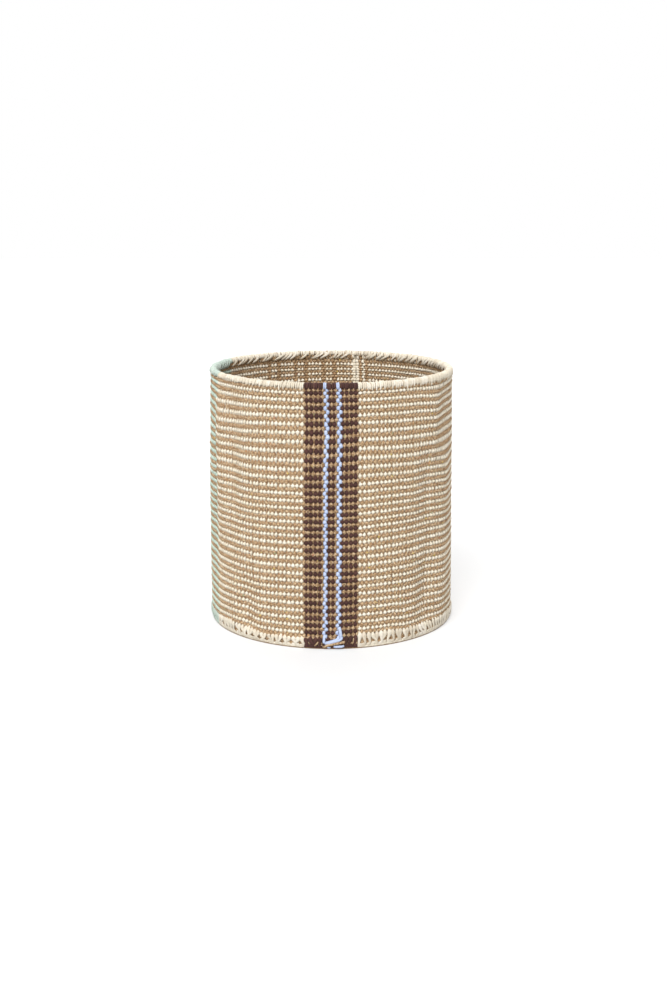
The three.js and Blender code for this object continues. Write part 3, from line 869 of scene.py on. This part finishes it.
# At the band a few strands are drawn across: the right blue line comes down to meet the left one, and
# tan ends pass below it. Each has a half width in mm and a route of columns, mm outward and mm high.
BLUE_STRANDS = (
    ("blue_right_end", 1.6, (
        (1.95, 1.2, 23), (2.1, 2.5, 20), (2.2, 3.0, 17), (2.3, 3.1, 14), (2.35, 2.4, 12),
    )),
    ("blue_crossing_top", 1.5, (
        (1.75, 2.0, 13.4), (1.7, 3.2, 11.6), (1.2, 3.9, 10.2), (0.3, 4.1, 8.9), (-0.6, 3.9, 7.6),
        (-1.2, 2.6, 6.8),
    )),
    ("blue_crossing_low", 1.5, (
        (2.5, 2.0, 13.2), (2.4, 3.2, 11.2), (1.9, 4.0, 9.9), (0.8, 4.2, 8.6), (-0.4, 4.1, 7.2),
        (-1.3, 2.6, 6.2),
    )),
    ("blue_left_end", 1.4, (
        (-1.35, 1.6, 15), (-1.45, 2.6, 12.5), (-1.5, 3.4, 9.8), (-1.5, 3.4, 7.6), (-1.4, 2.4, 6.4),
    )),
    ("blue_low_end", 1.3, ((2.95, 2.2, 3.4), (2.6, 3.9, 3.4), (1.2, 4.1, 3.1), (0.7, 2.4, 3.0))),
    ("blue_low_bit", 0.9, ((-0.1, 2.2, 1.9), (-0.4, 3.9, 2.2), (-0.75, 2.4, 2.2))),
)
TAN_STRANDS = (
    ("tan_crossing", 1.35, (
        (3.2, 2.0, 7.6), (2.8, 3.8, 7.6), (1.6, 4.3, 6.8), (0.4, 4.3, 5.8), (-0.6, 4.1, 4.8),
        (-1.4, 3.7, 3.0), (-1.8, 2, 1.9),
    )),
    ("tan_left_stitch", 0.7, ((-2.7, 2.2, 8.0), (-2.9, 3.9, 7.2), (-3.4, 3.9, 4.4), (-3.6, 2.4, 3.6))),
    ("tan_right_stitch", 0.6, ((5.05, 2.2, 11.0), (5.0, 3.9, 10.0), (4.85, 3.9, 6.6), (4.8, 2.3, 5.6))),
)
STRAND_HALF_THICK = 0.7
STEPS_PER_POINT = 6
ROUNDING_PASSES = 2


def crossing_strand(name, half_width, route, material, slot, *nodes):
    """One smooth strand through the points of a route."""
    corners = np.array(route, float)
    steps = np.linspace(0, len(corners) - 1, STEPS_PER_POINT * len(corners))
    fine = np.stack([np.interp(steps, range(len(corners)), corners[:, i]) for i in range(3)], axis=-1)
    for _ in range(ROUNDING_PASSES):
        fine[1:-1] = (fine[:-2] + fine[1:-1] * 2 + fine[2:]) / 4
    strand = lay_yarns(name, fine[None], half_width, STRAND_HALF_THICK, tint=[0.6], level=True, sides=8)
    dress(strand, material, slot, *nodes)


for name, half_width, route in BLUE_STRANDS:
    crossing_strand(name, half_width, route, BLUE_COTTON, "blue_yarn", *BLUE_BORDERS)
for name, half_width, route in TAN_STRANDS:
    crossing_strand(name, half_width, route, TAN_COTTON, "tan_yarn", "dark_centre_border")


# The base.
# A round of the same cloth lies inside the border, with its warps straight across from front to back.
# Its weft is one flat round here, because the warps hide all but its edge.
BASE_RADIUS = 121.5
BASE_PITCH = 4.2
BASE_PICK = 3.9
BASE_RINGS_PER_PICK = 3
BASE_MIDDLE = 2.2
BASE_WAVE = 0.85
BASE_HALF_THICK = 0.85
BASE_CROSSING = 1.1
BASE_FULLNESS = 0.95
BASE_SIDE_WARPS = 28


def base_warps(name, shift, phase, material, slot):
    """Warps of the base, straight and cut off round. Phase turns their wave, so that partners cross."""
    homes = np.arange(-BASE_SIDE_WARPS, BASE_SIDE_WARPS + 0.5) * BASE_PITCH + shift
    rings = round(2 * BASE_RADIUS / BASE_PICK * BASE_RINGS_PER_PICK)
    piece, yarn, ring, across, through = straight_yarns(name, len(homes), rings)
    home = homes[yarn]
    half_length = np.sqrt(BASE_RADIUS**2 - home**2)
    y = (ring / (rings - 1) * 2 - 1) * half_length
    swing = np.cos(np.pi * y / BASE_PICK + phase)
    x = home + across * (BASE_CROSSING + BASE_FULLNESS * np.abs(swing))
    z = BASE_MIDDLE + BASE_WAVE * swing - through * BASE_HALF_THICK
    points = np.stack([x, y, z], axis=-1) * MM
    settle(piece, points, across, through, y, chance.random(len(homes))[yarn])
    dress(piece, material, slot, "base_disc")


base_warps("base_cream_warps", 0.0, 0.0, CREAM_COTTON, "cream_yarn")
base_warps("base_tan_warps", BASE_PITCH / 2, math.pi, TAN_COTTON, "tan_yarn")

BASE_WEFT_RADIUS = 124.5
BASE_WEFT_THICK = 1.2
base_bm = bmesh.new()
bmesh.ops.create_circle(base_bm, cap_ends=True, segments=128, radius=BASE_WEFT_RADIUS * MM)
lowest = (BASE_MIDDLE - BASE_WEFT_THICK / 2) * MM
bmesh.ops.translate(base_bm, verts=base_bm.verts[:], vec=(0, 0, lowest))
rounds = bmesh.ops.extrude_face_region(base_bm, geom=base_bm.faces[:])
lifted = [v for v in rounds["geom"] if isinstance(v, bmesh.types.BMVert)]
bmesh.ops.translate(base_bm, verts=lifted, vec=(0, 0, BASE_WEFT_THICK * MM))
bmesh.ops.recalc_face_normals(base_bm, faces=base_bm.faces[:])
base_mesh = bpy.data.meshes.new("base_weft")
base_bm.to_mesh(base_mesh)
base_bm.free()
base_weft = bpy.data.objects.new("base_weft", base_mesh)
bpy.context.scene.collection.objects.link(base_weft)
dress(base_weft, WEFT_COTTON, "tan_yarn", "base_disc")


# The studio.
# A pale floor and white background, a wide soft light from above the front, a little from the left, and
# a weaker one from behind. The camera looks down over the rim, from where the outlines fit.
FLOOR_SIZE = 12.0
FLOOR_GLOW = 0.36
SKY_STRENGTH = 0.48
floor_bm = bmesh.new()
bmesh.ops.create_grid(floor_bm, x_segments=1, y_segments=1, size=FLOOR_SIZE / 2)
floor_mesh = bpy.data.meshes.new("floor")
floor_bm.to_mesh(floor_mesh)
floor_bm.free()
floor = bpy.data.objects.new("floor", floor_mesh)
bpy.context.scene.collection.objects.link(floor)


def seen_straight(tree):
    """1 for what the camera sees itself, in a mirror or through glass, and 0 for scattered light."""
    path = node(tree, "LightPath")
    total = path.outputs["Is Camera Ray"]
    for ray in ("Is Glossy Ray", "Is Transmission Ray"):
        total = node(tree, "Math", {"use_clamp": True}, _0=total, _1=path.outputs[ray]).outputs[0]
    return total


# Matt white paper. It glows a little for the camera alone, so it looks white and keeps its shadow.
paper = bpy.data.materials.new("white_paper")
paper.use_nodes = True
paper_tree = paper.node_tree
paper_tree.nodes.clear()
white = node(paper_tree, "BsdfDiffuse", Color=linear("#C8C8C8"))
shown = node(paper_tree, "Math", {"operation": "MULTIPLY"}, _0=seen_straight(paper_tree), _1=FLOOR_GLOW)
glow = node(paper_tree, "Emission", Color=(1, 1, 1, 1), Strength=shown.outputs[0])
both = node(paper_tree, "AddShader", _0=white.outputs[0], _1=glow.outputs[0])
node(paper_tree, "OutputMaterial", Surface=both.outputs[0])
floor.data.materials.append(paper)

world = bpy.data.worlds.new("studio")
bpy.context.scene.world = world
world.use_nodes = True
sky = world.node_tree
sky.nodes.clear()
strength = node(sky, "MapRange", Value=seen_straight(sky), To_Min=SKY_STRENGTH, To_Max=1.0)
backdrop = node(sky, "Background", Color=(1, 1, 1, 1), Strength=strength.outputs[0])
node(sky, "OutputWorld", Surface=backdrop.outputs[0])


def sun(name, azimuth, elevation, softness, strength):
    """An even light from far away, as soft as a lamp that fills this many degrees."""
    lamp = bpy.data.lights.new(name, "SUN")
    lamp.angle = math.radians(softness)
    lamp.energy = strength
    light = bpy.data.objects.new(name, lamp)
    bpy.context.scene.collection.objects.link(light)
    light.rotation_euler = (math.radians(90 - elevation), 0, math.radians(azimuth))


sun("key_light", azimuth=-13, elevation=45, softness=42, strength=2.85)
sun("back_light", azimuth=180, elevation=45, softness=60, strength=1.2)

CAMERA_BACK = 1.4375
CAMERA_SIDE = 0.0022
CAMERA_HEIGHT = 0.4638
CAMERA_TILT = 13.376
CAMERA_LENS = 50.09
camera = bpy.data.objects.new("camera", bpy.data.cameras.new("camera"))
bpy.context.scene.collection.objects.link(camera)
camera.data.lens = CAMERA_LENS
camera.location = (CAMERA_SIDE, -CAMERA_BACK, CAMERA_HEIGHT)
camera.rotation_euler = (math.radians(90 - CAMERA_TILT), 0, 0)
bpy.context.scene.camera = camera
bpy.context.scene.view_settings.view_transform = "Standard"
